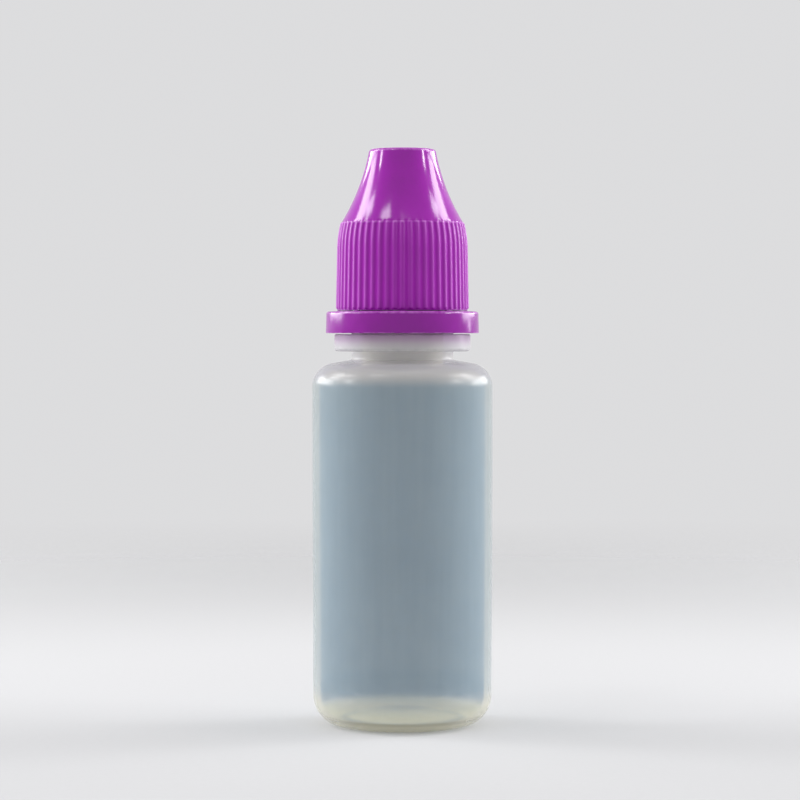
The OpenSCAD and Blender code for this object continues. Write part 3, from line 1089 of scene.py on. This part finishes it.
def floor_material(stage):
    """Pale floor that fades into the backdrop far from the bottle."""
    material, tree, shader = new_material("pale_floor", Roughness=0.55, Specular_IOR_Level=0.0)
    fine = noise(tree, in_millimetres(tree), 0.9, 3.0, "paper")
    grain = ramp(tree, fine, 0.3, 0.7, label="grain")
    shade = blended(tree, grain, shaded(stage.floor_colour, 0.985), stage.floor_colour, "paper")
    tree.links.new(shade, shader.inputs["Base Color"])
    place = put(tree, "ShaderNodeTexCoord", "place")
    far = put(tree, "ShaderNodeVectorMath", "distance", operation="LENGTH")
    tree.links.new(place.outputs["Object"], far.inputs[0])
    fade = ramp(tree, far.outputs["Value"], 0.07, 0.40, 1.0, 0.0, "fade")
    fade.node.interpolation_type = "SMOOTHSTEP"
    tree.links.new(fade, shader.inputs["Alpha"])
    return material


def add_lamp(name, azimuth, elevation, distance, width, height, power):
    """A softbox that faces the bottle. Azimuth 0 is the camera's side and 90 the right."""
    data = bpy.data.lights.new(name, "AREA")
    data.shape = "RECTANGLE"
    data.size = width
    data.size_y = height
    data.energy = power
    lamp = bpy.data.objects.new(name, data)
    around, up = math.radians(azimuth), math.radians(elevation)
    lamp.location = (
        distance * math.sin(around) * math.cos(up) + LAMP_AIM[0],
        -distance * math.cos(around) * math.cos(up) + LAMP_AIM[1],
        distance * math.sin(up) + LAMP_AIM[2],
    )
    lamp.rotation_euler = (math.pi / 2 - up, 0.0, around)
    lamp.visible_camera = False
    bpy.context.scene.collection.objects.link(lamp)


def light_world(scene, stage):
    """A backdrop for the camera and for reflections, and an even fill light for the rest."""
    world = bpy.data.worlds.new("studio") if scene.world is None else scene.world
    scene.world = world
    world.use_nodes = True
    tree = world.node_tree
    tree.nodes.clear()
    seen = put(tree, "ShaderNodeBackground", "backdrop", {"Strength": 1.0})
    seen.inputs["Color"].default_value = (*stage.backdrop_colour, 1.0)
    lit = put(tree, "ShaderNodeBackground", "fill", {"Strength": stage.fill})
    lit.inputs["Color"].default_value = (1.0, 1.0, 1.0, 1.0)
    path = put(tree, "ShaderNodeLightPath", "ray")
    pick = put(tree, "ShaderNodeMixShader", "backdrop or fill")
    out = put(tree, "ShaderNodeOutputWorld", "world")
    straight = maths(tree, "ADD", path.outputs["Is Camera Ray"], path.outputs["Is Glossy Ray"])
    straight = maths(tree, "ADD", straight, path.outputs["Is Transmission Ray"], clamp=True)
    tree.links.new(straight, pick.inputs[0])
    tree.links.new(lit.outputs[0], pick.inputs[1])
    tree.links.new(seen.outputs[0], pick.inputs[2])
    tree.links.new(pick.outputs[0], out.inputs["Surface"])


class LightStage(bpy.types.Operator):
    """Sets up the pale floor, the backdrop, the softboxes and the camera."""

    bl_idname = "dropbottle.light_stage"
    bl_label = "Stage and Camera"

    def execute(self, context):
        stage = context.scene.drop_stage
        scene = context.scene
        scene.view_settings.view_transform = "Standard"
        rows = [(0.0, 0.0, 0.0)] + [(r, 0.0, 0.0) for r in (60, 120, 240, 480, 960, 1900)]
        rows += [(1900, -0.6, 0.0), (0.0, -0.6, 0.0)]
        floor = turned_piece("floor", [Band(rows[::-1], 96)])
        floor.location.z = -0.00002
        floor.data.materials.append(floor_material(stage))

        light_world(scene, stage)
        lamps = []
        for side, name in ((-1, "left"), (1, "right")):
            lamps += [(f"{kind}_{name}", side * turn, *rest) for kind, turn, *rest in LAMP_PAIRS]
        for *lamp, power in (*lamps, *SINGLE_LAMPS):
            add_lamp(*lamp, power * stage.lamp_level)

        camera_data = bpy.data.cameras.new("camera")
        camera_data.sensor_width = 36.0
        camera_data.lens = stage.lens
        camera_data.shift_x = -0.003
        camera_data.clip_start = 0.01
        camera = bpy.data.objects.new("camera", camera_data)
        camera.location = (0.0, -stage.camera_distance, stage.camera_height)
        camera.rotation_euler = (math.pi / 2 - stage.camera_tilt, 0.0, 0.0)
        scene.collection.objects.link(camera)
        scene.camera = camera
        return {"FINISHED"}


# Panel and registration


class DropBottlePanel(bpy.types.Panel):
    """Lists the bottle's pieces with their sizes and colours."""

    bl_idname = "VIEW3D_PT_drop_bottle"
    bl_label = "Eye Drop Bottle"
    bl_space_type = "VIEW_3D"
    bl_region_type = "UI"
    bl_category = "Drop Bottle"

    def draw(self, context):
        for operator, name in OPERATORS.items():
            box = self.layout.box()
            box.operator(operator.bl_idname)
            if name:
                settings = getattr(context.scene, name)
                for size in settings.__annotations__:
                    box.prop(settings, size)


SETTINGS = {
    "drop_bottle": BottleSettings,
    "drop_tip": TipSettings,
    "drop_cap": CapSettings,
    "drop_stage": StageSettings,
}
OPERATORS = {
    LightStage: "drop_stage",
    SqueezeBottle: "drop_bottle",
    DropperTip: "drop_tip",
    ScrewCap: "drop_cap",
    TearBand: None,
}
CLASSES = (*SETTINGS.values(), *OPERATORS, DropBottlePanel)


def register():
    """Registers the classes and hangs the settings on the scene."""
    for cls in CLASSES:
        bpy.utils.register_class(cls)
    for name, settings in SETTINGS.items():
        setattr(bpy.types.Scene, name, bpy.props.PointerProperty(type=settings))


def unregister():
    """Takes the settings off the scene and unregisters the classes."""
    for name in SETTINGS:
        delattr(bpy.types.Scene, name)
    for cls in reversed(CLASSES):
        bpy.utils.unregister_class(cls)


def main():
    register()
    bpy.ops.dropbottle.light_stage()
    bpy.ops.dropbottle.squeeze_bottle()
    bpy.ops.dropbottle.dropper_tip()
    bpy.ops.dropbottle.screw_cap()
    bpy.ops.dropbottle.tear_band()


if __name__ == "__main__":
    main()
